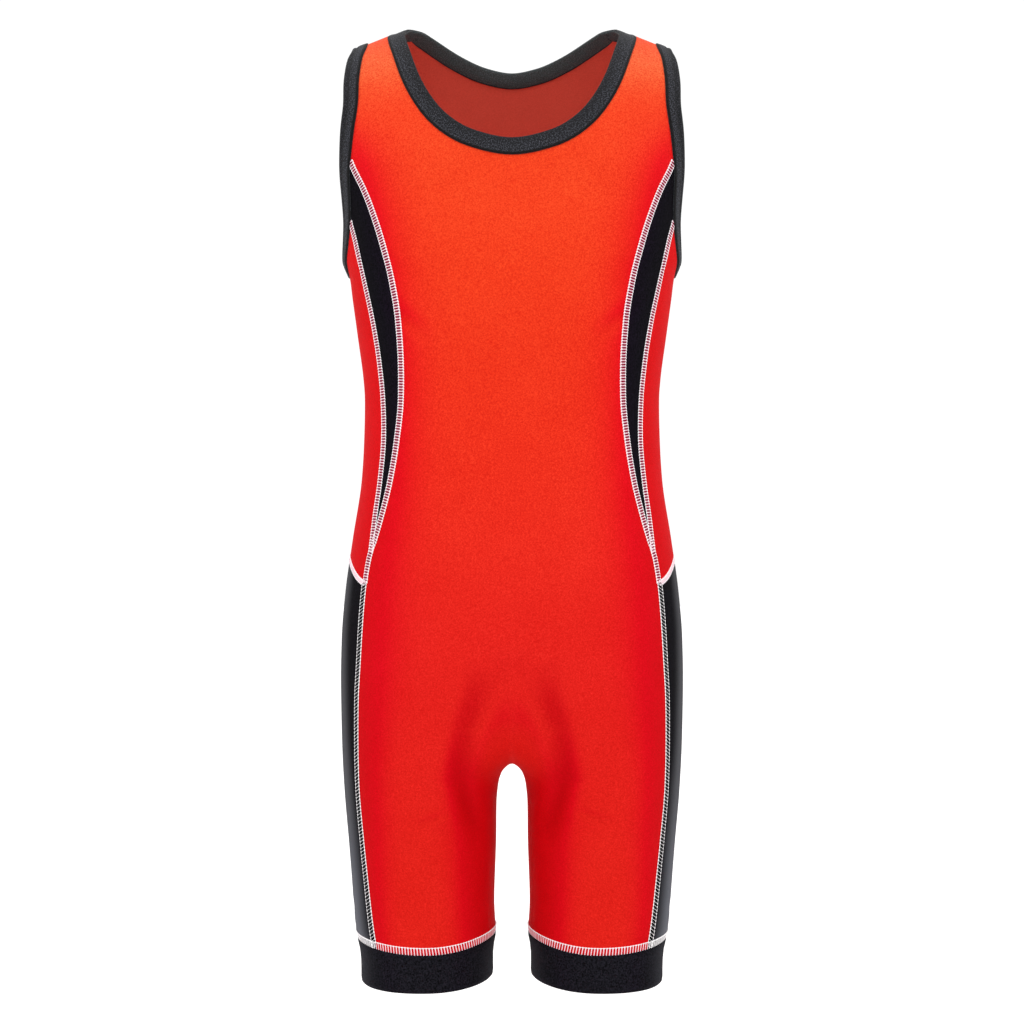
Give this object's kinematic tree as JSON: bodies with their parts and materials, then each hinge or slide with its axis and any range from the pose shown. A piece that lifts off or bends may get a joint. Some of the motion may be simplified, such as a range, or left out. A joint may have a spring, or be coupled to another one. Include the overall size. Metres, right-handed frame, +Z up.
{
  "type": "wrestling singlet",
  "caption": "One-piece sleeveless wrestling singlet for a child, red with black side wedges, black leg sides, hem bands and dark bound neck and armholes, filled out as worn.",
  "frame": {"origin": "between the shoulder straps, at the height of their crest, where a wearer's shoulders hold the garment up", "axes": "+Z up, -Y out of the front, +X to the wearer's left"},
  "size_m": [0.2526, 0.175, 0.7033],
  "materials": {
    "red_stretch": "stretch knit with a soft satin sheen",
    "black_stretch": "stretch knit with a soft satin sheen",
    "binding_knit": "matt mottled rib knit"
  },
  "bodies": {
    "root": {"front_panel": "red_stretch", "back_panel": "red_stretch", "side_panel_left": "red_stretch", "side_panel_right": "red_stretch", "side_insert_left": "black_stretch", "side_insert_right": "black_stretch", "leg_panel_left": "black_stretch", "leg_panel_right": "black_stretch", "hem_band_left": "black_stretch", "hem_band_right": "black_stretch", "neck_binding": "binding_knit", "armhole_binding_left": "binding_knit", "armhole_binding_right": "binding_knit"}
  },
  "joints": []
}
